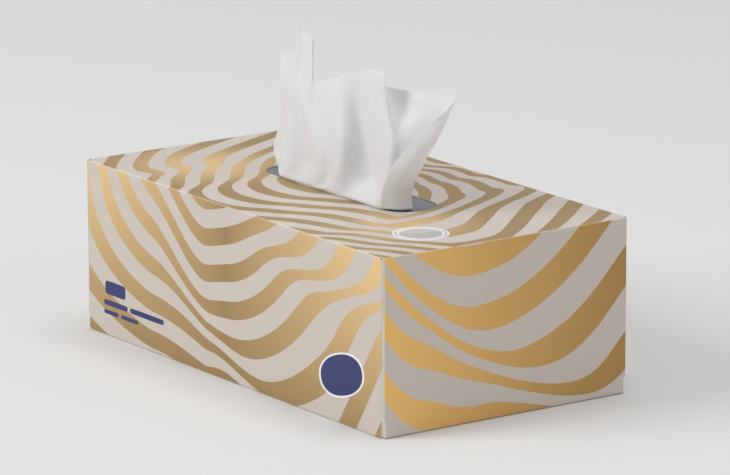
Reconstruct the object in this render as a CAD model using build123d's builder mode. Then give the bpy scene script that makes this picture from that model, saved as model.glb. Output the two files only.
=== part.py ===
"""Flat tissue box: folded carton, film window, glue, tissue stack and the sheet that stands in the slot.

Origin at the middle of the carton's base. +X runs along the box, -Y is the front, +Z is up.
"""
import os

from build123d import *

os.makedirs("parts", exist_ok=True)

# Carton, outside sizes
box_length = 215.0
box_width = 120.0
box_height = 73.0

# Boxboard
board = 0.4
fold_radius = 0.8
fold_lead = 0.5
layer_gap = 0.1
edge_round = 0.12

# Flaps
seam_flap_width = 15.0
seam_flap_taper = 6.0
seam_setback = 0.4
inner_flap_height = 52.0
inner_flap_side = 0.9
inner_flap_corner = 5.0
outer_flap_side = 0.45
outer_flap_lift = 0.5
relief_width = 1.0
relief_height = 6.5
dust_flap_length = 45.0
dust_flap_end_gap = 0.4
dust_flap_corner = 8.0

# Slot and film
slot_length = 103.0
slot_width = 25.0
film_thickness = 0.06
film_margin_x = 22.0
film_margin_y = 20.0
film_glue_thickness = 0.05
film_glue_width = 4.0
film_glue_inset = 3.0
slit_end_margin = 8.5
slit_front_margin = 1.5
slit_back_reach = 3.0

# Glue spots
seam_glue_width = 8.0
seam_glue_end_gap = 12.0
end_glue_length = 32.0
end_glue_width = 6.0
end_glue_inset = 4.0
outer_glue_drop = 14.0
dust_glue_height = 22.0

# Paper
stack_end_gap = 3.1
stack_side_gap = 4.6
stack_headroom = 3.4
stack_edge_round = 1.5
foot_end_inset = 28.0
foot_side_inset = 25.0
foot_thickness = 1.2
foot_round = 15.0
neck_clearance = 1.0
tuft_lift = 1.5
tuft_front_belly = 17.0
tuft_back_belly = 12.0
tuft_front_crest = 8.0
tuft_back_crest = 5.0
tuft_belly_height = 28.0
tip_height = 60.5
tip_width = 13.0
lobe_height = 43.5
notch_height = 38.0
mound_height = 50.5
waist_height = 19.0
left_overhang = 11.0
right_overhang = 31.5

# Places that follow from the sizes above
half_length = box_length / 2
half_width = box_width / 2
mid_board = board / 2
layer_pitch = board + layer_gap
bend_radius = fold_radius - mid_board
outer_flap_x = half_length - mid_board
inner_flap_x = outer_flap_x - layer_pitch
dust_flap_x = inner_flap_x - layer_pitch
sleeve_half = dust_flap_x - bend_radius - fold_lead
ceiling = box_height - board
film_top = ceiling - film_glue_thickness
film_bottom = film_top - film_thickness
stack_bottom = board + layer_pitch
stack_top = film_bottom - stack_headroom
sheet_width = 2 * (dust_flap_x - mid_board - stack_end_gap)
folded_sheet_depth = 2 * (half_width - board - stack_side_gap)


def layer_between(outer_centre):
    """X of the glue layer on the inner side of a board layer centred at outer_centre."""
    return outer_centre - mid_board - layer_gap


# Carton: the flaps of one end are folded up first, then mirrored, then joined by the sleeve.
with BuildPart() as carton:
    # Outer end flap, hinged on the top panel
    with BuildSketch(Plane.XZ) as outer_flap_section:
        with BuildLine() as outer_flap_path:
            FilletPolyline(
                (sleeve_half, box_height - mid_board),
                (outer_flap_x, box_height - mid_board),
                (outer_flap_x, outer_flap_lift),
                radius=bend_radius,
            )
        trace(line_width=board)
    extrude(amount=half_width - outer_flap_side, both=True)
    outer_rims = carton.edges().filter_by(Axis.Z).group_by(Axis.X)[-1]
    fillet(outer_rims, edge_round)
    with BuildSketch(Plane.YZ.offset(sleeve_half)) as outer_flap_reliefs:
        with Locations(
            (half_width - outer_flap_side, outer_flap_lift),
            (outer_flap_side - half_width, outer_flap_lift),
        ):
            Rectangle(2 * relief_width, 2 * relief_height)
    extrude(amount=half_length - sleeve_half, mode=Mode.SUBTRACT)

    # Inner end flap, hinged on the bottom panel
    with BuildSketch(Plane.XZ) as inner_flap_section:
        with BuildLine() as inner_flap_path:
            FilletPolyline(
                (sleeve_half, mid_board),
                (inner_flap_x, mid_board),
                (inner_flap_x, inner_flap_height),
                radius=bend_radius,
            )
        trace(line_width=board)
    extrude(amount=half_width - inner_flap_side, both=True)
    inner_corners = (
        carton.edges()
        .filter_by(Axis.X)
        .filter_by_position(Axis.Z, inner_flap_height - mid_board, inner_flap_height + mid_board)
    )
    chamfer(inner_corners, inner_flap_corner)

    # Dust flaps, hinged on the front and back panels
    for side in (-1, 1):
        with BuildSketch(Plane.XY.offset(board + dust_flap_end_gap)) as dust_flap_section:
            with BuildLine() as dust_flap_path:
                FilletPolyline(
                    (sleeve_half, side * (half_width - mid_board)),
                    (dust_flap_x, side * (half_width - mid_board)),
                    (dust_flap_x, side * (half_width - dust_flap_length)),
                    radius=bend_radius,
                )
            trace(line_width=board)
        extrude(amount=box_height - 2 * (board + dust_flap_end_gap))
        dust_corners = (
            carton.edges()
            .filter_by(Axis.X)
            .filter_by(lambda edge: edge.center().X < inner_flap_x - mid_board)
            .filter_by(lambda edge: abs(abs(edge.center().Y) - half_width + dust_flap_length) < mid_board)
            .filter_by(lambda edge: edge.center().Y * side > 0)
        )
        chamfer(dust_corners, dust_flap_corner)
    mirror(about=Plane.YZ)

    # Sleeve: long glue flap, back, top, front and bottom panels
    with BuildSketch(Plane.YZ) as sleeve_section:
        with BuildLine() as sleeve_path:
            FilletPolyline(
                (half_width - seam_flap_width, mid_board + layer_pitch),
                (half_width - mid_board, mid_board + layer_pitch),
                (half_width - mid_board, box_height - mid_board),
                (mid_board - half_width, box_height - mid_board),
                (mid_board - half_width, mid_board),
                (half_width - seam_setback, mid_board),
                radius=bend_radius,
            )
        trace(line_width=board)
    extrude(amount=sleeve_half, both=True)
    with BuildSketch(Plane.XY.offset(mid_board + layer_pitch)) as seam_flap_cuts:
        for side in (-1, 1):
            with BuildLine():
                Polyline(
                    (side * sleeve_half, half_width - seam_flap_width),
                    (side * (sleeve_half - seam_flap_taper), half_width - seam_flap_width),
                    (side * sleeve_half, half_width - board - fold_radius),
                    close=True,
                )
            make_face()
    extrude(amount=mid_board + layer_gap / 2, both=True, mode=Mode.SUBTRACT)

    # Slot in the top panel
    with BuildSketch(Plane.XY.offset(box_height)) as slot_outline:
        SlotOverall(slot_length, slot_width)
    extrude(amount=-board, mode=Mode.SUBTRACT)
carton.part.label = "carton"
export_step(carton.part, "parts/carton.step")


# Glue along the seam, between the glue flap and the bottom panel
seam_glue_y = half_width - seam_flap_width / 2
with BuildPart() as side_seam_glue:
    with BuildSketch(Plane.XY.offset(board)) as seam_glue_outline:
        with Locations((0, seam_glue_y)):
            Rectangle(2 * (sleeve_half - seam_glue_end_gap), seam_glue_width)
    extrude(amount=layer_gap)
side_seam_glue.part.label = "side_seam_glue"
export_step(side_seam_glue.part, "parts/side_seam_glue.step")


end_glue_y = half_width - dust_flap_length + end_glue_inset + end_glue_length / 2
outer_glue_z = inner_flap_height - outer_glue_drop


def end_glue(side, label):
    """Glue spots of one end: two between the long flaps, one on each dust flap."""
    with BuildPart() as glue:
        outer_layer = layer_between(outer_flap_x)
        with BuildSketch(Plane.YZ.offset(side * outer_layer)) as outer_spots:
            with Locations((-end_glue_y, outer_glue_z), (end_glue_y, outer_glue_z)):
                Rectangle(end_glue_length, end_glue_width)
        extrude(amount=side * layer_gap)
        inner_layer = layer_between(inner_flap_x)
        with BuildSketch(Plane.YZ.offset(side * inner_layer)) as dust_spots:
            with Locations((-end_glue_y, dust_glue_height), (end_glue_y, dust_glue_height)):
                Rectangle(end_glue_length, end_glue_width)
        extrude(amount=side * layer_gap)
    glue.part.label = label
    export_step(glue.part, f"parts/{label}.step")


end_glue(-1, "left_end_glue")
end_glue(1, "right_end_glue")


# Film under the slot, with the slit that the paper holds open
film_length = slot_length + 2 * film_margin_x
film_width = slot_width + 2 * film_margin_y
slit_half = slot_length / 2 - slit_end_margin
slit_front_reach = slot_width / 2 - slit_front_margin
with BuildPart() as slot_film:
    with BuildSketch(Plane.XY.offset(film_bottom)) as film_outline:
        Rectangle(film_length, film_width)
        with BuildLine() as slit_lips:
            ThreePointArc((-slit_half, 0), (0, -slit_front_reach), (slit_half, 0))
            ThreePointArc((slit_half, 0), (0, slit_back_reach), (-slit_half, 0))
        make_face(mode=Mode.SUBTRACT)
    extrude(amount=film_thickness)
slot_film.part.label = "slot_film"
export_step(slot_film.part, "parts/slot_film.step")


# Glue that holds the film to the top panel: two long strips and two short ones
strip_x = film_length / 2 - film_glue_inset - film_glue_width / 2
strip_y = film_width / 2 - film_glue_inset - film_glue_width / 2
short_strip = 2 * (strip_y - film_glue_width)
with BuildPart() as film_glue:
    with BuildSketch(Plane.XY.offset(film_top)) as film_glue_outline:
        with Locations((0, -strip_y), (0, strip_y)):
            Rectangle(2 * strip_x + film_glue_width, film_glue_width)
        with Locations((-strip_x, 0), (strip_x, 0)):
            Rectangle(film_glue_width, short_strip)
    extrude(amount=film_glue_thickness)
film_glue.part.label = "film_glue"
export_step(film_glue.part, "parts/film_glue.step")


# Stack of interfolded sheets, standing on the seam flap
with BuildPart() as tissue_stack:
    with BuildSketch(Plane.YZ) as stack_section:
        stack_height = stack_top - stack_bottom
        with Locations((0, stack_bottom + stack_height / 2)):
            RectangleRounded(folded_sheet_depth, stack_height, stack_edge_round)
    extrude(amount=sheet_width / 2, both=True)
tissue_stack.part.label = "tissue_stack"
export_step(tissue_stack.part, "parts/tissue_stack.step")


# Sheet pulled up through the slit: loose tuft above the slot, neck in the slit, foot on the stack
neck_half = slit_half - neck_clearance
neck_front = slit_front_reach - neck_clearance
neck_back = slit_back_reach - neck_clearance
foot_top = stack_top + foot_thickness
tuft_base = box_height + tuft_lift
left_reach = neck_half + left_overhang
right_reach = neck_half + right_overhang
foot_length = sheet_width - 2 * foot_end_inset
foot_depth = folded_sheet_depth - 2 * foot_side_inset
tip_left = 3 - neck_half
notch_x = tip_left + tip_width
with BuildPart() as pulled_tissue:
    with BuildSketch(Plane.XZ) as tuft_front:
        with BuildLine() as tuft_silhouette:
            Polyline(
                (-neck_half, tuft_base),
                (-neck_half - 6, tuft_base + 6),
                (-left_reach + 5, box_height + waist_height),
                (-left_reach, box_height + lobe_height),
                (tip_left, box_height + lobe_height + 1),
                (tip_left, box_height + tip_height),
                (notch_x, box_height + tip_height - 3),
                (notch_x, box_height + notch_height),
                (0, box_height + mound_height - 2),
                (neck_half / 2, box_height + mound_height),
                (neck_half / 2 + 2, box_height + mound_height - 4),
                (right_reach, box_height + mound_height - 1),
                (neck_half + 12, box_height + waist_height),
                (neck_half, tuft_base),
                close=True,
            )
        make_face()
    extrude(amount=tuft_front_belly, both=True)
    with BuildSketch(Plane.YZ.offset(-left_reach)) as tuft_side:
        with BuildLine() as tuft_profile:
            Polyline(
                (-neck_front, tuft_base),
                (-tuft_front_belly, box_height + tuft_belly_height),
                (-tuft_front_crest, box_height + tip_height),
                (tuft_back_crest, box_height + tip_height),
                (tuft_back_belly, box_height + tuft_belly_height),
                (neck_back, tuft_base),
                close=True,
            )
        make_face()
    extrude(amount=left_reach + right_reach, mode=Mode.INTERSECT)
    with BuildSketch(Plane.XY.offset(foot_top)) as neck_section:
        with BuildLine() as neck_outline:
            ThreePointArc((-neck_half, 0), (0, -neck_front), (neck_half, 0))
            ThreePointArc((neck_half, 0), (0, neck_back), (-neck_half, 0))
        make_face()
    extrude(amount=tuft_base - foot_top)
    with BuildSketch(Plane.XY.offset(stack_top)) as foot_outline:
        RectangleRounded(foot_length, foot_depth, foot_round)
    extrude(amount=foot_thickness)
pulled_tissue.part.label = "pulled_tissue"
export_step(pulled_tissue.part, "parts/pulled_tissue.step")
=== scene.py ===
import math

import bmesh
import bpy
from mathutils import Matrix, Vector, noise


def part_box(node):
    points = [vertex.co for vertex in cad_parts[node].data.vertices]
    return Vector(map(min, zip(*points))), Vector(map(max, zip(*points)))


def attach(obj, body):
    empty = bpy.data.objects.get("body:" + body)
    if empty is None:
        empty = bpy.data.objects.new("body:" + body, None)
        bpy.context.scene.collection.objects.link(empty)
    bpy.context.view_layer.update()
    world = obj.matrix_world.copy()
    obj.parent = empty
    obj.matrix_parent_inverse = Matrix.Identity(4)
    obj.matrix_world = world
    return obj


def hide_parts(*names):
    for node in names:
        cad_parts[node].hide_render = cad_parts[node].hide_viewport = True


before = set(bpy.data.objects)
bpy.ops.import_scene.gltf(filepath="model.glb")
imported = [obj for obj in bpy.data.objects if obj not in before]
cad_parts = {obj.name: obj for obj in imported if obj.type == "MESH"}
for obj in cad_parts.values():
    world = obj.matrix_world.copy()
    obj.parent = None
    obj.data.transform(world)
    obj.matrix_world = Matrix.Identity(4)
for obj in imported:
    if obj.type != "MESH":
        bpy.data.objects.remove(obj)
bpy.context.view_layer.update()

print("frame loaded:", ", ".join(sorted(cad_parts)))

mm = 0.001
cartonLow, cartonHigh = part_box("carton")
boxLength = (cartonHigh.x - cartonLow.x) / mm
boxWidth = (cartonHigh.y - cartonLow.y) / mm
boxHeight = cartonHigh.z / mm
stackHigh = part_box("tissue_stack")[1] / mm


def tint(red, green, blue):
    # a colour given as on a screen, 0 to 255, made linear with full alpha
    shares = [channel / 255 for channel in (red, green, blue)]
    return tuple(s / 12.92 if s < 0.04045 else ((s + 0.055) / 1.055) ** 2.4 for s in shares) + (1.0,)


class Flow:
    # a socket in a material: arithmetic on it adds Math nodes
    def __init__(self, finish, socket):
        self.finish = finish
        self.socket = socket

    def math(self, operation, *values):
        return self.finish.node("ShaderNodeMath", {"operation": operation}, dict(enumerate(values)))

    def __add__(self, other):
        return self.math("ADD", self, other)

    def __radd__(self, other):
        return self.math("ADD", other, self)

    def __sub__(self, other):
        return self.math("SUBTRACT", self, other)

    def __rsub__(self, other):
        return self.math("SUBTRACT", other, self)

    def __mul__(self, other):
        return self.math("MULTIPLY", self, other)

    def __rmul__(self, other):
        return self.math("MULTIPLY", other, self)

    def __truediv__(self, other):
        return self.math("DIVIDE", self, other)

    def __pow__(self, other):
        return self.math("POWER", self, other)

    def __gt__(self, other):
        return self.math("GREATER_THAN", self, other)

    def __lt__(self, other):
        return self.math("LESS_THAN", self, other)

    def __abs__(self):
        return self.math("ABSOLUTE", self)


class Finish:
    # a material, or the world, and the nodes that make it
    def __init__(self, name, world=None):
        self.material = world or bpy.data.materials.new(name)
        self.material.use_nodes = True
        self.tree = self.material.node_tree
        self.tree.nodes.clear()

    def node(self, kind, settings=None, values=None, out=0):
        made = self.tree.nodes.new(kind)
        for setting, value in (settings or {}).items():
            setattr(made, setting, value)
        for key, value in (values or {}).items():
            if isinstance(value, Flow):
                self.tree.links.new(value.socket, made.inputs[key])
            else:
                made.inputs[key].default_value = value
        return Flow(self, made.outputs[out]) if made.outputs else None

    def parts(self, vector):
        split = self.node("ShaderNodeSeparateXYZ", values={0: vector})
        return [Flow(self, output) for output in split.socket.node.outputs]

    def place(self):
        # position on the piece in mm, as three flows
        return [part * 1000.0 for part in self.parts(self.node("ShaderNodeTexCoord", out="Object"))]

    def facing(self):
        return self.parts(self.node("ShaderNodeNewGeometry", out="True Normal"))

    def mix(self, factor, first, second):
        colours = {"Factor": factor, 6: first, 7: second}
        return self.node("ShaderNodeMix", {"data_type": "RGBA"}, colours, out=2)

    def step(self, low, high, value):
        # smooth rise from 0 at low to 1 at high
        ends = {"Value": value, "From Min": low, "From Max": high, "To Min": 0.0, "To Max": 1.0}
        return self.node("ShaderNodeMapRange", {"interpolation_type": "SMOOTHSTEP"}, ends)

    def noise(self, scale, detail=2.0, roughness=0.5, vector=None):
        if vector is None:
            vector = self.node("ShaderNodeTexCoord", out="Object")
        values = {"Vector": vector, "Scale": scale, "Detail": detail, "Roughness": roughness}
        return self.node("ShaderNodeTexNoise", None, values)

    def bump(self, height, distance, strength=1.0):
        values = {"Height": height, "Distance": distance, "Strength": strength}
        return self.node("ShaderNodeBump", None, values)

    def curve(self, value, points):
        # smooth curve through a few (place, height) points
        places, heights = zip(*points)
        first, low = places[0], min(heights)
        span, lift = places[-1] - first, max(heights) - low
        clamped = {"operation": "SUBTRACT", "use_clamp": True}
        share = self.node("ShaderNodeMath", clamped, {0: value / span, 1: first / span})
        made = self.node("ShaderNodeFloatCurve", None, {"Value": share})
        mapping = made.socket.node.mapping
        line = mapping.curves[0]
        for _ in points[2:]:
            line.points.new(0.5, 0.5)
        for point, place, height in zip(line.points, places, heights):
            point.location = ((place - first) / span, (height - low) / lift)
        mapping.update()
        return made * lift + low

    def surface(self, values):
        self.link(self.node("ShaderNodeBsdfPrincipled", None, values))

    def link(self, shader, end="ShaderNodeOutputMaterial"):
        self.node(end, None, {"Surface": shader})


def dress(name, finish):
    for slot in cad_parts[name].material_slots:
        slot.material = finish.material


# Printed board: u runs along a face from its left, v down from its top edge, in mm

board = {
    "silver": tint(205, 195, 185),
    # lit and shaded ends of the painted sheen on the gold ink, with a more yellow pair for the end face
    "sheenLitGold": tint(236, 200, 143),
    "sheenShadedGold": tint(158, 128, 80),
    "endSheenLitGold": tint(240, 192, 112),
    "endSheenShadedGold": tint(174, 134, 74),
    "rawLight": tint(240, 238, 232),
    "rawDark": tint(226, 223, 215),
    "navy": tint(36, 45, 104),
    "sealGrey": tint(196, 193, 190),
    "white": tint(240, 240, 240),
    # half the width of a gold band, as a share of one gold and silver pair
    "goldShare": 0.24,
    "inkDepth": 0.25,
    # a face belongs to a side while its normal's share toward that side is above this
    "flat": 0.7,
    "goldMetal": 0.25,
    "roughness": {"raw": 0.85, "inkDrop": 0.4, "goldDrop": 0.06, "fibres": 0.06},
    # painted sheen on the gold ink: it is drawn lightest away from the middle of the sides and high up on
    # them
    "sideLight": {"middle": 105.0, "reach": 95.0, "power": 0.7, "down": 82.0},
    # painted sheen on the end face: its gold darkens toward the back over this many mm
    "endSheenFade": 118.0,
    # painted light areas on the top gold: strength, middle, radius
    "topLights": ((0.75, (176, 80), 38), (0.9, (38, 86), 48)),
    "topShade": 0.12,
    # random patches of painted sheen on the gold
    "sheen": 0.16,
    # bare board in place of ink along the folds: bend where it starts and where it is full, least share,
    # patchy share
    "bareFolds": {"starts": 0.3, "full": 0.8, "least": 0.1, "patchy": 0.35},
    # noises: scale, detail and, on the fibres, roughness
    "sheenNoise": (9.0, 1.0),
    "bareFoldNoise": (240.0, 2.0),
    "fibreNoise": (900.0, 4.0, 0.65),
    "swellNoise": (160.0, 2.0),
    "reliefShare": 0.6,
    "relief": 0.00003,
    # plain bars low at the front left: left, right, top, bottom
    "bars": (
        (14, 29.5, 49.2, 55),
        (13, 31, 57.4, 59.8),
        (33, 58.5, 57.4, 59.8),
        (13, 24, 61.8, 63.6),
        (26, 39, 61.8, 63.6),
    ),
    "barCorners": (8.0, 6.0),
    "patch": {"middle": (186.5, 53), "half": (14.6, 8.2), "lean": 16, "corners": 2.2, "rim": 0.07},
    # shares of the seal's radius: its grey middle, and the middle and half width of its ring
    "seal": {"middle": (190, 84), "radius": 11.5, "inner": 0.74, "ring": 0.88, "ringHalf": 0.03},
}


def ramp(value, width):
    # a soft corner: 0 well below zero, the value itself well above
    return ((value * value + width * width) ** 0.5 + value) * 0.5


def rise(value):
    return value.math("TANH", value) * 0.5 + 0.5


def larger(first, second, width):
    return first + ramp(second - first, width)


# Waves count bands down a face: a gold band lies round each whole number. A fan spreads the bands, and
# a pinch makes one more band between two others, along a slanting line.

frontPrint = {
    "start": {"left": 1.42, "drop": 1.6, "turn": (50.0, 92.0)},
    "slope": {"left": 0.066, "drop": 0.04, "turn": (95.0, 185.0)},
    "leftFan": {"amount": 0.0113, "edge": 60.0, "soft": 14.0, "power": 1.4, "fade": 50.0},
    "rightFan": {"amount": 3.75, "edge": 88.0, "soft": 14.0, "reach": 118.0, "power": 1.3},
    "longPinch": {"amount": 1.2, "grows": (48.0, 88.0), "soft": 7.5},
    "longPinchLine": {"down": 50.0, "tilt": 0.62, "from": 85.0},
    "shortPinch": {"amount": 1.15, "grows": (108.0, 172.0), "soft": 6.0},
    "shortPinchLine": {"down": 9.0, "sinks": 10.0, "turn": (115.0, 180.0)},
}


def frontWaves(finish, u, v):
    step = finish.step
    start, slope, left, right = (frontPrint[part] for part in ("start", "slope", "leftFan", "rightFan"))
    long, longPath = frontPrint["longPinch"], frontPrint["longPinchLine"]
    short, shortPath = frontPrint["shortPinch"], frontPrint["shortPinchLine"]
    plain = slope["left"] - slope["drop"] * step(*slope["turn"], u)
    faded = u.math("EXPONENT", v / -left["fade"])
    leftFan = left["amount"] * ramp(left["edge"] - u, left["soft"]) ** left["power"] * faded
    base = start["left"] - start["drop"] * step(*start["turn"], u)
    rightFan = right["amount"] * (ramp(u - right["edge"], right["soft"]) / right["reach"]) ** right["power"]
    longLine = v - longPath["down"] - longPath["tilt"] * (u - longPath["from"])
    longPinch = long["amount"] * step(*long["grows"], u) * rise(longLine / long["soft"])
    shortLine = v - shortPath["down"] - shortPath["sinks"] * step(*shortPath["turn"], u)
    shortPinch = short["amount"] * step(*short["grows"], u) * rise(shortLine / short["soft"])
    return base + leftFan + rightFan + plain * v + longPinch + shortPinch


endPrint = {
    "start": 0.36,
    "slope": {"left": 0.04, "drop": 0.012, "turn": (50.0, 110.0)},
    "leftFan": {"amount": 0.0006, "edge": 45.0, "soft": 4.0, "power": 2.0},
    "rightFan": {"amount": 0.03, "edge": 60.0, "soft": 14.0},
    "pinch": {"amount": 1.1, "more": 0.3, "grows": (5.0, 30.0), "soft": 8.5},
    "pinchLine": {"down": 5.0, "tilt": 1.12, "bend": 0.0042},
}


def endWaves(finish, u, v):
    step = finish.step
    slope, left, right, pinch, line = (
        endPrint[part] for part in ("slope", "leftFan", "rightFan", "pinch", "pinchLine")
    )
    leftFan = left["amount"] * ramp(left["edge"] - u, left["soft"]) ** left["power"]
    base = leftFan + right["amount"] * ramp(u - right["edge"], right["soft"]) - endPrint["start"]
    plain = slope["left"] - slope["drop"] * step(*slope["turn"], u)
    pinchLine = v - line["down"] - line["tilt"] * u + line["bend"] * u * u
    pinched = (pinch["amount"] + pinch["more"] * step(*pinch["grows"], u)) * rise(pinchLine / pinch["soft"])
    return base + plain * v + pinched


topPrint = {
    "middle": 60.0,
    # band count at the middle line and bands per mm away from it, by place along the top
    "frontStart": (
        (0, 4.2), (20, 3), (37, 2), (48, 1.05), (65, 0.1), (85, -1.1), (97, -1.15), (125, -0.2),
        (150, 0.6), (172, 0.45), (190, 0.9), (203, 1.85), (215, 2.75),
    ),
    "frontSlope": ((0, 0.026), (25, 0.03), (50, 0.066), (140, 0.067), (165, 0.08), (185, 0.1), (215, 0.09)),
    "frontBend": {"amount": 0.035, "edge": 86.0, "soft": 8.0, "fades": (25.0, 55.0)},
    "backStart": (
        (0, -9), (40, -4.5), (90, -1.3), (105, -1.9), (125, -0.95), (140, 0.06), (160, 1.9), (171, 2.9),
        (185, 3.6), (205, 4.5), (215, 5.05),
    ),
    "backSlope": ((0, 0.115), (110, 0.105), (125, 0.085), (140, 0.067), (160, 0.044), (215, 0.047)),
    "ridge": {"under": 0.1, "drop": 3.0, "turn": (150.0, 165.0)},
    "join": 0.3,
}


def topWaves(finish, u, v):
    # rings round the slot: a front fan, a back fan and the ridge that joins them
    step = finish.step
    below = v - topPrint["middle"]
    frontStart, frontSlope, backStart, backSlope = (
        finish.curve(u, topPrint[part]) for part in ("frontStart", "frontSlope", "backStart", "backSlope")
    )
    bend, ridge, join = topPrint["frontBend"], topPrint["ridge"], topPrint["join"]
    frontBend = bend["amount"] * ramp(v - bend["edge"], bend["soft"]) * (1.0 - step(*bend["fades"], u))
    top = backStart - ridge["under"] - ridge["drop"] * (1.0 - step(*ridge["turn"], u))
    fans = larger(frontStart + frontSlope * below + frontBend, backStart - backSlope * below, join)
    return larger(fans, top, join)


def stripes(waves):
    # 1 in the gold bands, 0 in the silver ones
    return abs(waves - waves.math("ROUND", waves)) < board["goldShare"]


def glow(finish, u, v, middle, radius):
    # a soft round painted light area
    away = ((u - middle[0]) ** 2.0 + (v - middle[1]) ** 2.0) ** 0.5
    return 1.0 - finish.step(0.0, radius, away)


def inBars(u, v):
    found = 0.0
    endPower, sidePower = board["barCorners"]
    for left, right, top, bottom in board["bars"]:
        across, down = (right - left) / 2, (bottom - top) / 2
        reachAcross = abs(u - (left + across)) / across
        reachDown = abs(v - (top + down)) / down
        found = found + (reachAcross ** endPower + reachDown ** sidePower < 1.0)
    return found


def addMarks(finish, inks, u, v, fromBack, atFront, atTop):
    # plain marks: a patch and bars on the front, a seal on the top
    mix, patch, seal = finish.mix, board["patch"], board["seal"]
    lean = math.radians(patch["lean"])
    right, down = u - patch["middle"][0], v - patch["middle"][1]
    along = (right * math.cos(lean) - down * math.sin(lean)) / patch["half"][0]
    across = (right * math.sin(lean) + down * math.cos(lean)) / patch["half"][1]
    reach = abs(along) ** patch["corners"] + abs(across) ** patch["corners"]
    inks = mix((reach < 1.0 + 3 * patch["rim"]) * atFront, inks, board["white"])
    away = ((u - seal["middle"][0]) ** 2.0 + (fromBack - seal["middle"][1]) ** 2.0) ** 0.5 / seal["radius"]
    inks = mix((away < 1.0) * atTop, inks, board["white"])
    inks = mix((away < seal["inner"]) * atTop, inks, board["sealGrey"])
    inks = mix((abs(away - seal["ring"]) < seal["ringHalf"]) * atTop, inks, board["sealGrey"])
    navy = ((reach < 1.0) + inBars(u, v)) * atFront
    return mix(navy, inks, board["navy"]), navy


def paintedGoldSheen(finish, u, v, across, fromBack, onSide, onEnd, onTop):
    # painted sheen on the gold ink: how light the gold is drawn, from 0 to 1
    side = board["sideLight"]
    sideLight = (abs(u - side["middle"]) / side["reach"]) ** side["power"] * (1.0 - v / side["down"])
    endLight = 1.0 - across / board["endSheenFade"]
    topLight = board["topShade"]
    for strength, middle, radius in board["topLights"]:
        topLight = topLight + strength * glow(finish, u, fromBack, middle, radius)
    light = sideLight * onSide + endLight * onEnd + topLight * onTop
    clamped = finish.node("ShaderNodeClamp", None, {"Value": light})
    return clamped + (finish.noise(*board["sheenNoise"]) - 0.5) * board["sheen"]


def printedBoard():
    finish = Finish("printed_board")
    step, mix = finish.step, finish.mix
    x, y, z = finish.place()
    facingX, facingY, facingZ = finish.facing()
    u = x + boxLength / 2
    v = boxHeight - z
    across = y + boxWidth / 2
    fromBack = boxWidth / 2 - y
    depth, flat = board["inkDepth"], board["flat"]
    onEnd = (abs(facingX) > flat) * (abs(x) > boxLength / 2 - depth)
    onTop = (abs(facingZ) > flat) * (abs(z - boxHeight / 2) > boxHeight / 2 - depth)
    onSide = (abs(facingY) > flat) * (abs(y) > boxWidth / 2 - depth)
    printed = onEnd + onTop + onSide
    isGold = (
        stripes(frontWaves(finish, u, v)) * onSide
        + stripes(endWaves(finish, across, v)) * onEnd
        + stripes(topWaves(finish, u, fromBack)) * onTop
    )
    light = paintedGoldSheen(finish, u, v, across, fromBack, onSide, onEnd, onTop)
    # the gold is drawn between its painted shaded and painted lit colours
    gold = mix(
        onEnd,
        mix(light, board["sheenShadedGold"], board["sheenLitGold"]),
        mix(light, board["endSheenShadedGold"], board["endSheenLitGold"]),
    )
    inks = mix(isGold, board["silver"], gold)
    atFront = (facingY < -flat) * onSide
    atTop = (facingZ > flat) * onTop
    inks, navy = addMarks(finish, inks, u, v, fromBack, atFront, atTop)
    # the bare board colour shows in patches in place of the ink along the folds
    bareFolds, rough = board["bareFolds"], board["roughness"]
    bent = 1.0 - (abs(facingX) ** 8.0 + abs(facingY) ** 8.0 + abs(facingZ) ** 8.0)
    patchy = bareFolds["least"] + bareFolds["patchy"] * finish.noise(*board["bareFoldNoise"])
    bareShare = step(bareFolds["starts"], bareFolds["full"], bent) * patchy
    covered = printed * (1.0 - bareShare)
    fibres = finish.noise(*board["fibreNoise"])
    swell = finish.noise(*board["swellNoise"])
    relief = (fibres + swell) * board["reliefShare"]
    rawBoard = mix(fibres, board["rawDark"], board["rawLight"])
    gloss = covered * (rough["inkDrop"] + isGold * rough["goldDrop"])
    finish.surface(
        {
            "Base Color": mix(covered, rawBoard, inks),
            "Metallic": isGold * covered * (1.0 - navy) * board["goldMetal"],
            "Roughness": rough["raw"] - gloss + (fibres - 0.5) * rough["fibres"],
            "Normal": finish.bump(relief, board["relief"]),
        }
    )
    return finish


film = {
    # the film is a real sheet; its grey colour is painted shade of the carton's inside below it
    "dark": tint(120, 122, 126),
    "light": tint(158, 160, 164),
    "roughness": 0.12,
    "alpha": 0.66,
    # how much the haze adds to each
    "hazeRoughness": 0.12,
    "hazeAlpha": 0.1,
    # noises: scale, detail, roughness
    "wrinkleNoise": (38.0, 3.0, 0.6),
    "wrinkleHeight": 0.0006,
    "wrinkleStrength": 0.6,
    "hazeNoise": (90.0, 2.0),
}


def carriedFilm():
    finish = Finish("window_film")
    wrinkles = finish.noise(*film["wrinkleNoise"])
    haze = finish.noise(*film["hazeNoise"])
    finish.surface(
        {
            # grey film colour: painted shade of the inside seen through it, varied by haze
            "Base Color": finish.mix(haze, film["dark"], film["light"]),
            "Roughness": film["roughness"] + haze * film["hazeRoughness"],
            "Alpha": film["alpha"] + haze * film["hazeAlpha"],
            "Normal": finish.bump(wrinkles, film["wrinkleHeight"], film["wrinkleStrength"]),
        }
    )
    return finish


stack = {
    # painted shade in the gaps between leaves
    "gapShade": tint(214, 214, 213),
    "paper": tint(243, 243, 243),
    # height of one leaf and how far its line strays, in mm
    "leaf": 0.24,
    "waver": 0.5,
    "contrast": 1.6,
    "waverNoise": (14.0, 2.0),
    "crepeNoise": (700.0, 3.0),
    "roughness": 0.93,
    "leafShare": 0.8,
    "crepeShare": 0.4,
    "relief": 0.00012,
}


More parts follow.
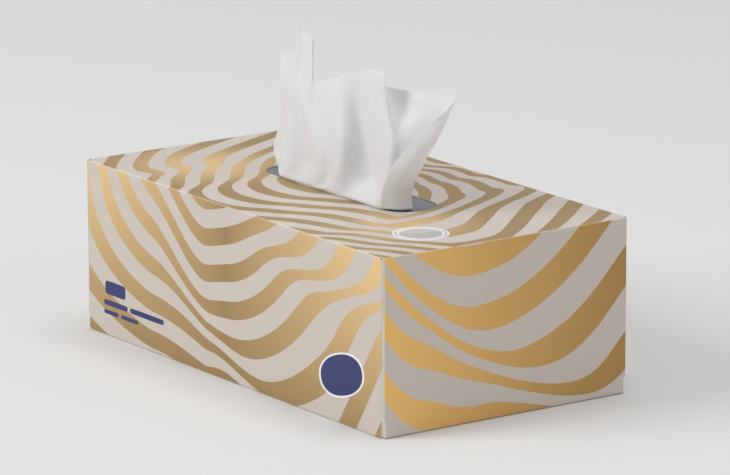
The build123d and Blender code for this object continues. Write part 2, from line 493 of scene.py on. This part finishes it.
def stackedPaper():
    # thin leaf edges, one line for each folded ply, the darker lines painted shade in the gaps between leaves
    finish = Finish("stacked_paper")
    _, _, z = finish.place()
    waver = finish.noise(*stack["waverNoise"]) * stack["waver"]
    leaf = z.math("PINGPONG", (z + waver) / stack["leaf"], 0.5)
    crepe = finish.noise(*stack["crepeNoise"])
    finish.surface(
        {
            "Base Color": finish.mix(leaf * stack["contrast"], stack["gapShade"], stack["paper"]),
            "Roughness": stack["roughness"],
            "Normal": finish.bump(leaf * stack["leafShare"] + crepe * stack["crepeShare"], stack["relief"]),
        }
    )
    return finish


glue = {
    "thin": tint(222, 214, 190),
    "thick": tint(238, 234, 220),
    "roughness": 0.38,
    "beadRoughness": 0.2,
    "beadNoise": (260.0, 3.0),
    "relief": 0.00004,
}


def driedGlue():
    finish = Finish("carton_glue")
    beads = finish.noise(*glue["beadNoise"])
    finish.surface(
        {
            "Base Color": finish.mix(beads, glue["thin"], glue["thick"]),
            "Roughness": glue["roughness"] + beads * glue["beadRoughness"],
            "Normal": finish.bump(beads, glue["relief"]),
        }
    )
    return finish


glueFinish = driedGlue()
dress("carton", printedBoard())
dress("slot_film", carriedFilm())
dress("tissue_stack", stackedPaper())
for glueName in ("side_seam_glue", "left_end_glue", "right_end_glue", "film_glue"):
    dress(glueName, glueFinish)
print("carton, film, stack and glue finished")


# Pulled tissue: one sheet, laid flat on the stack, folded back, gathered through the slit and opened above it

tissue = {
    "flat": (206.0, 220.0),
    "ply": 0.16,
    "colour": tint(246, 246, 247),
    "lightThrough": 0.42,
    "roughness": 0.95,
    "shine": 0.15,
    # noises: scale, detail, roughness; the crepe is drawn out along one side of the sheet
    "crepeNoise": (1.0, 3.0, 0.6),
    "crepeStretch": (0.6, 3.2, 1.0),
    "grainNoise": (420.0, 3.0, 0.6),
    "crepeShare": 0.7,
    "grainShare": 0.5,
    "relief": 0.00006,
    "acrossSteps": 12,
    # rows of the mesh in each part of the sheet, from its tucked end to its free edge
    "rows": {"under": 14, "bend": 6, "over": 16, "stand": 76},
    # how far the tucked end keeps from the stack's back edge, its top and its sides
    "stackMargin": 3.0,
    "clearance": 0.14,
    "sideMargin": 0.4,
    "bendRadius": 0.35,
    # rise and ripple of the part that runs back over the tucked end, up to the slit
    "overRise": 0.5,
    "ripple": 1.44,
    # powers: how late the sheet turns up to the slit, and how near the free edge its steps are felt
    "neckTurn": 5,
    "stepTurn": 4,
    # above the last level the folds go on opening at this share of their last spread
    "topSpread": 0.4,
    # heights at which the folds are set, the first one inside the slit
    "levels": (72.45, 73.15, 76.0, 82.0, 94.0, 107.0, 120.0),
    # each fold line from the back edge of the sheet round to its front right edge: x, y at every level
    "folds": (
        ((0, 1.8), (0, 6), (0, 8), (0, 9), (0, 10), (0, 10), (1, 9)),
        ((-13, 2.4), (-14, 5.5), (-15, 8), (-16, 10), (-16, 11.5), (-15, 11), (-14, 10)),
        ((-26, 1.7), (-30, 4), (-31, 6), (-32, 8), (-33, 8.5), (-32, 8), (-31, 7)),
        ((-37, 0.6), (-40, 0), (-41, 1), (-43, 2), (-42, 3), (-42, 2), (-42, 2)),
        ((-40, -1), (-37, -8.5), (-40, -8), (-45, -7), (-43, -5), (-43.5, -4), (-46, -3)),
        ((-36, 0.2), (-32, -12.2), (-34, -11.2), (-37, -8.5), (-37, -6.8), (-38.5, -6), (-41, -4.6)),
        ((-31, -4.6), (-26, -12.8), (-27, -13.3), (-26, -12.5), (-29, -10), (-31, -8), (-34.5, -6)),
        ((-25, 0.6), (-20, -12.8), (-19, -12.5), (-17, -10.4), (-20.5, -9.6), (-25.5, -8), (-29.5, -5.7)),
        ((-17, -8.4), (-11, -12.9), (-6, -13.5), (-4, -13.6), (-10, -12.2), (-20.5, -9.2), (-26, -5.3)),
        ((-10, 0.8), (-4, -12.9), (0, -12.9), (2, -11.9), (-3, -11.2), (-16.5, -8), (-20, -4.7)),
        ((-2, -9.6), (2, -12.8), (5, -13.3), (6, -13), (3.5, -11.6), (-9.5, -8), (-16.5, -5)),
        ((7, -10), (10, -12.8), (12, -13.8), (13, -14.4), (13, -13.4), (7, -10.2), (0, -7)),
        ((16, 0.8), (21, -13.0), (21, -12.0), (21, -6.4), (17.5, -4.6), (13.5, -4), (13, -5)),
        ((26, -6.2), (30, -12.9), (31, -12.2), (31, -8.6), (30, -8), (28, -7.6), (26, -6)),
        ((34, -3.8), (38, -12.9), (40, -13.4), (42, -13), (43, -12), (41, -10), (36, -7.5)),
        ((36.5, -0.3), (41, -10), (44, -10), (46, -9.5), (46.5, -8.5), (42.5, -5), (21, 1)),
        ((38.5, 0.2), (43.5, -6), (45.5, -6), (47.5, -5.5), (49.5, -4.6), (49, -1.2), (45, 3)),
        ((40, -0.2), (44.5, -3.5), (46, -3.5), (47.5, -3.5), (51.5, -2), (56, 1.5), (58, 4)),
        ((41, -0.6), (47, -2.5), (47, -3.2), (48, -3.6), (55, -2.4), (62.5, 0.2), (67, 3.8)),
        ((39.5, -1.4), (46, -8), (46.3, -9.2), (47, -9.6), (53.5, -8.2), (62, -3), (67.5, 2.5)),
        ((37, -2.8), (40, -12.6), (41, -13.8), (42.5, -14.2), (48.5, -12.2), (58.5, -6), (68.5, 1.5)),
    ),
    # height of the free edge, by place among the fold lines
    "topEdge": (
        (0, 105), (1, 108), (2, 106.5), (3, 111), (3.6, 114.5), (4, 117.5), (4.6, 121.3), (5.2, 123),
        (6, 124.2), (6.85, 125.3), (6.95, 136.6), (8, 134.2), (8.8, 132.3), (9, 130.8), (9.14, 112.5),
        (9.6, 113.6), (10, 115.2), (11, 119.8), (12, 124.4), (13, 127), (13.6, 127.3), (14, 126),
        (14.5, 121.5), (15, 119), (16, 119.8), (17, 121.2), (18, 122.4), (19, 119), (20, 114),
    ),
    # small unevenness, from a few rows above the slit: depth in mm, scale and shift of its noise
    "rumple": {"depth": 0.7, "scale": 0.045, "shift": (3.0, 7.0, 1.0)},
    "crease": {"depth": 0.5, "scale": 0.11, "shift": (9.0, 2.0, 5.0), "level": 0.3},
    "calmRows": 6,
    "risingRows": 24,
}


def between(values, place):
    # smooth curve through a list of points, at a place counted in list steps
    last = len(values) - 1
    place = min(max(place, 0.0), last - 1e-6)
    start = int(place)
    share = place - start

    def pick(index):
        if index < 0:
            return values[0] * 2 - values[1]
        if index > last:
            return values[last] * 2 - values[last - 1]
        return values[index]

    a, b, c, d = (pick(start + step) for step in (-1, 0, 1, 2))
    square = (a * 2 - b * 5 + c * 4 - d) * share**2
    cube = (b * 3 - a - c * 3 + d) * share**3
    return (b * 2 + (c - a) * share + square + cube) * 0.5


def straight(pairs, place):
    # straight lines through pairs of place and value
    for (startPlace, start), (endPlace, end) in zip(pairs, pairs[1:]):
        if place <= endPlace:
            return start + (end - start) * max(place - startPlace, 0.0) / (endPlace - startPlace)
    return pairs[-1][1]


def standingPoint(lines, place, height):
    # point of the tuft at a fold place and a height
    levels = tissue["levels"]
    if height >= levels[-1]:
        low, high = (between([line[k] for line in lines], place) for k in (-2, -1))
        beyond = (height - levels[-1]) / (levels[-1] - levels[-2])
        flat = high + (high - low) * (tissue["topSpread"] * beyond)
    else:
        level = straight([(z, float(k)) for k, z in enumerate(levels)], height)
        flat = between([between([line[k] for line in lines], place) for k in range(len(levels))], level)
    return Vector((flat.x, flat.y, height))


def sheetRows():
    # stations down the sheet: (part, share of that part)
    rows = []
    for part, count in tissue["rows"].items():
        rows += [(part, step / count) for step in range(count)]
    return rows + [("stand", 1.0)]


def tuckedPoint(wide, neck, place, part, share):
    # point below the slit: flat on the stack, round the bend, or on its way up to the neck
    stackBack = stackHigh.y - tissue["stackMargin"]
    under = stackHigh.z + tissue["clearance"]
    radius, rise = tissue["bendRadius"], tissue["overRise"]
    if part == "under":
        return Vector((wide, -stackBack + 2 * stackBack * share, under))
    if part == "bend":
        angle = math.pi * share
        return Vector((wide, stackBack + radius * math.sin(angle), under + radius * (1 - math.cos(angle))))
    eased = share * share * (3 - 2 * share)
    flat = Vector((wide, stackBack, 0)).lerp(Vector((neck.x, neck.y, 0)), share)
    flat.x = wide + (neck.x - wide) * eased
    ripple = tissue["ripple"] * math.sin(place * math.pi) * eased * (1 - share)
    climb = (neck.z - under - 2 * radius - rise) * share ** tissue["neckTurn"]
    return Vector((flat.x, flat.y, under + 2 * radius + rise * share + ripple + climb))


def sheetPoint(lines, place, part, share):
    half = tissue["flat"][0] / 2 - tissue["sideMargin"]
    last = len(lines) - 1
    wide = (place / last * 2 - 1) * half
    neck = standingPoint(lines, place, tissue["levels"][0])
    if part != "stand":
        return tuckedPoint(wide, neck, place, part, share)
    # the steps in the free edge shear the rows only near the top
    edge = tissue["topEdge"]
    top = straight(edge, place)
    around = [min(max(place + step * 0.5, 0.0), last) for step in range(-3, 4)]
    even = sum(straight(edge, other) for other in around) / len(around)
    height = neck.z + (even - neck.z) * share + (top - even) * share ** tissue["stepTurn"]
    return standingPoint(lines, place, height)


def uneven(place):
    # how far the paper stands off its smooth shape at a place, in mm
    rumple, crease = tissue["rumple"], tissue["crease"]
    soft = noise.noise(place * rumple["scale"] + Vector(rumple["shift"]))
    fine = abs(noise.noise(place * crease["scale"] + Vector(crease["shift"])))
    return rumple["depth"] * soft + crease["depth"] * (crease["level"] - fine)


def addPulledTissue():
    lines = [[Vector(point) for point in line] for line in tissue["folds"]]
    across = (len(lines) - 1) * tissue["acrossSteps"]
    rows = sheetRows()
    shape = bmesh.new()
    bmesh.ops.create_grid(shape, x_segments=across, y_segments=len(rows) - 1, size=1.0)
    weave = shape.loops.layers.uv.new("weave")
    stations = {}
    for vertex in shape.verts:
        column = round((vertex.co.x + 1) / 2 * across)
        row = round((vertex.co.y + 1) / 2 * (len(rows) - 1))
        part, share = rows[row]
        stations[vertex] = (column, row)
        vertex.co = sheetPoint(lines, column / tissue["acrossSteps"], part, share)
    for face in shape.faces:
        face.smooth = True
        for loop in face.loops:
            column, row = stations[loop.vert]
            loop[weave].uv = (column / across * tissue["flat"][0], row / (len(rows) - 1) * tissue["flat"][1])
    shape.normal_update()
    calmRow = len(rows) - 1 - tissue["rows"]["stand"] + tissue["calmRows"]
    for vertex, (_, row) in stations.items():
        risen = min(max((row - calmRow) / tissue["risingRows"], 0.0), 1.0)
        if risen > 0:
            vertex.co += vertex.normal * risen * uneven(vertex.co)
    bmesh.ops.scale(shape, vec=(mm, mm, mm), verts=shape.verts)
    mesh = bpy.data.meshes.new("pulled_sheet")
    shape.to_mesh(mesh)
    shape.free()
    sheet = bpy.data.objects.new("pulled_sheet", mesh)
    bpy.context.scene.collection.objects.link(sheet)
    thickness = sheet.modifiers.new("plies", "SOLIDIFY")
    thickness.thickness = tissue["ply"] * mm
    thickness.offset = 0.0
    mesh.materials.append(tissuePaper().material)
    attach(sheet, "root")
    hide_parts("pulled_tissue")
    flat = [side * mm for side in tissue["flat"]]


def tissuePaper():
    finish = Finish("tissue_paper")
    weave = finish.node("ShaderNodeUVMap", {"uv_map": "weave"})
    drawn = finish.node("ShaderNodeMapping", None, {"Vector": weave, "Scale": tissue["crepeStretch"]})
    crepe = finish.noise(*tissue["crepeNoise"], vector=drawn)
    grain = finish.noise(*tissue["grainNoise"])
    height = crepe * tissue["crepeShare"] + grain * tissue["grainShare"]
    paper = finish.node(
        "ShaderNodeBsdfPrincipled",
        None,
        {
            "Base Color": tissue["colour"],
            "Roughness": tissue["roughness"],
            "Specular IOR Level": tissue["shine"],
            "Normal": finish.bump(height, tissue["relief"]),
        },
    )
    through = finish.node("ShaderNodeBsdfTranslucent", None, {"Color": tissue["colour"]})
    finish.link(finish.node("ShaderNodeMixShader", None, {0: tissue["lightThrough"], 1: paper, 2: through}))
    return finish


addPulledTissue()
print("tissue pulled up")


# Camera and light

camera = {
    "place": (1.7701, -1.2422, 0.5728),
    "azimuth": 54.783,
    "elevation": 13.544,
    "roll": 0.099,
    "lens": 267.3,
    "sensor": 36.0,
    "clip": (0.05, 100.0),
}


def addCamera():
    azimuth, elevation, roll = (math.radians(camera[key]) for key in ("azimuth", "elevation", "roll"))
    level = math.cos(elevation)
    right = Vector((math.cos(azimuth), math.sin(azimuth), 0.0))
    back = Vector((math.sin(azimuth) * level, -math.cos(azimuth) * level, math.sin(elevation)))
    up = back.cross(right)
    turn = Matrix((right, up, back)).transposed() @ Matrix.Rotation(-roll, 3, "Z")
    data = bpy.data.cameras.new("camera")
    data.lens = camera["lens"]
    data.sensor_width = camera["sensor"]
    data.clip_start, data.clip_end = camera["clip"]
    held = bpy.data.objects.new("camera", data)
    held.matrix_world = Matrix.Translation(camera["place"]) @ turn.to_4x4()
    bpy.context.scene.collection.objects.link(held)
    bpy.context.scene.camera = held


studio = {
    "floorSize": 30.0,
    "floorColour": tint(222, 222, 222),
    "floorRoughness": 0.85,
    "skyShown": tint(238, 238, 238),
    "skyLight": (1.0, 1.0, 1.0, 1.0),
    "skyStrength": 0.46,
    "lamps": {
        # name: place, aim, size, watts
        "key": ((-1.0, -2.4, 1.7), (0.0, 0.0, 0.05), 1.6, 45.0),
        "overhead": ((0.2, 0.2, 2.6), (0.0, 0.0, 0.0), 2.0, 24.0),
        "side": ((2.6, 0.9, 1.1), (0.0, 0.0, 0.05), 1.4, 7.0),
    },
}


def addLamp(name, place, aim, size, watts):
    data = bpy.data.lights.new(name, "AREA")
    data.shape = "DISK"
    data.size = size
    data.energy = watts
    lamp = bpy.data.objects.new(name, data)
    turn = (Vector(aim) - Vector(place)).to_track_quat("-Z", "Y").to_matrix().to_4x4()
    lamp.matrix_world = Matrix.Translation(place) @ turn
    bpy.context.scene.collection.objects.link(lamp)


def addFloor():
    shape = bmesh.new()
    bmesh.ops.create_grid(shape, x_segments=1, y_segments=1, size=studio["floorSize"] / 2)
    mesh = bpy.data.meshes.new("floor")
    shape.to_mesh(mesh)
    shape.free()
    floor = bpy.data.objects.new("floor", mesh)
    bpy.context.scene.collection.objects.link(floor)
    finish = Finish("floor")
    finish.surface({"Base Color": studio["floorColour"], "Roughness": studio["floorRoughness"]})
    mesh.materials.append(finish.material)


def addSky():
    # the camera sees a pale backdrop, and everything else a dimmer sky
    world = bpy.data.worlds.new("studio")
    bpy.context.scene.world = world
    sky = Finish("studio", world)
    seen = sky.node("ShaderNodeLightPath", out="Is Camera Ray")
    light = {"Color": studio["skyLight"], "Strength": studio["skyStrength"]}
    lit = sky.node("ShaderNodeBackground", None, light)
    shown = sky.node("ShaderNodeBackground", None, {"Color": studio["skyShown"]})
    sky.link(sky.node("ShaderNodeMixShader", None, {0: seen, 1: lit, 2: shown}), "ShaderNodeOutputWorld")


addCamera()
addFloor()
addSky()
for lampName, values in studio["lamps"].items():
    addLamp(lampName, *values)
bpy.context.scene.view_settings.view_transform = "Standard"
print("camera and studio ready")
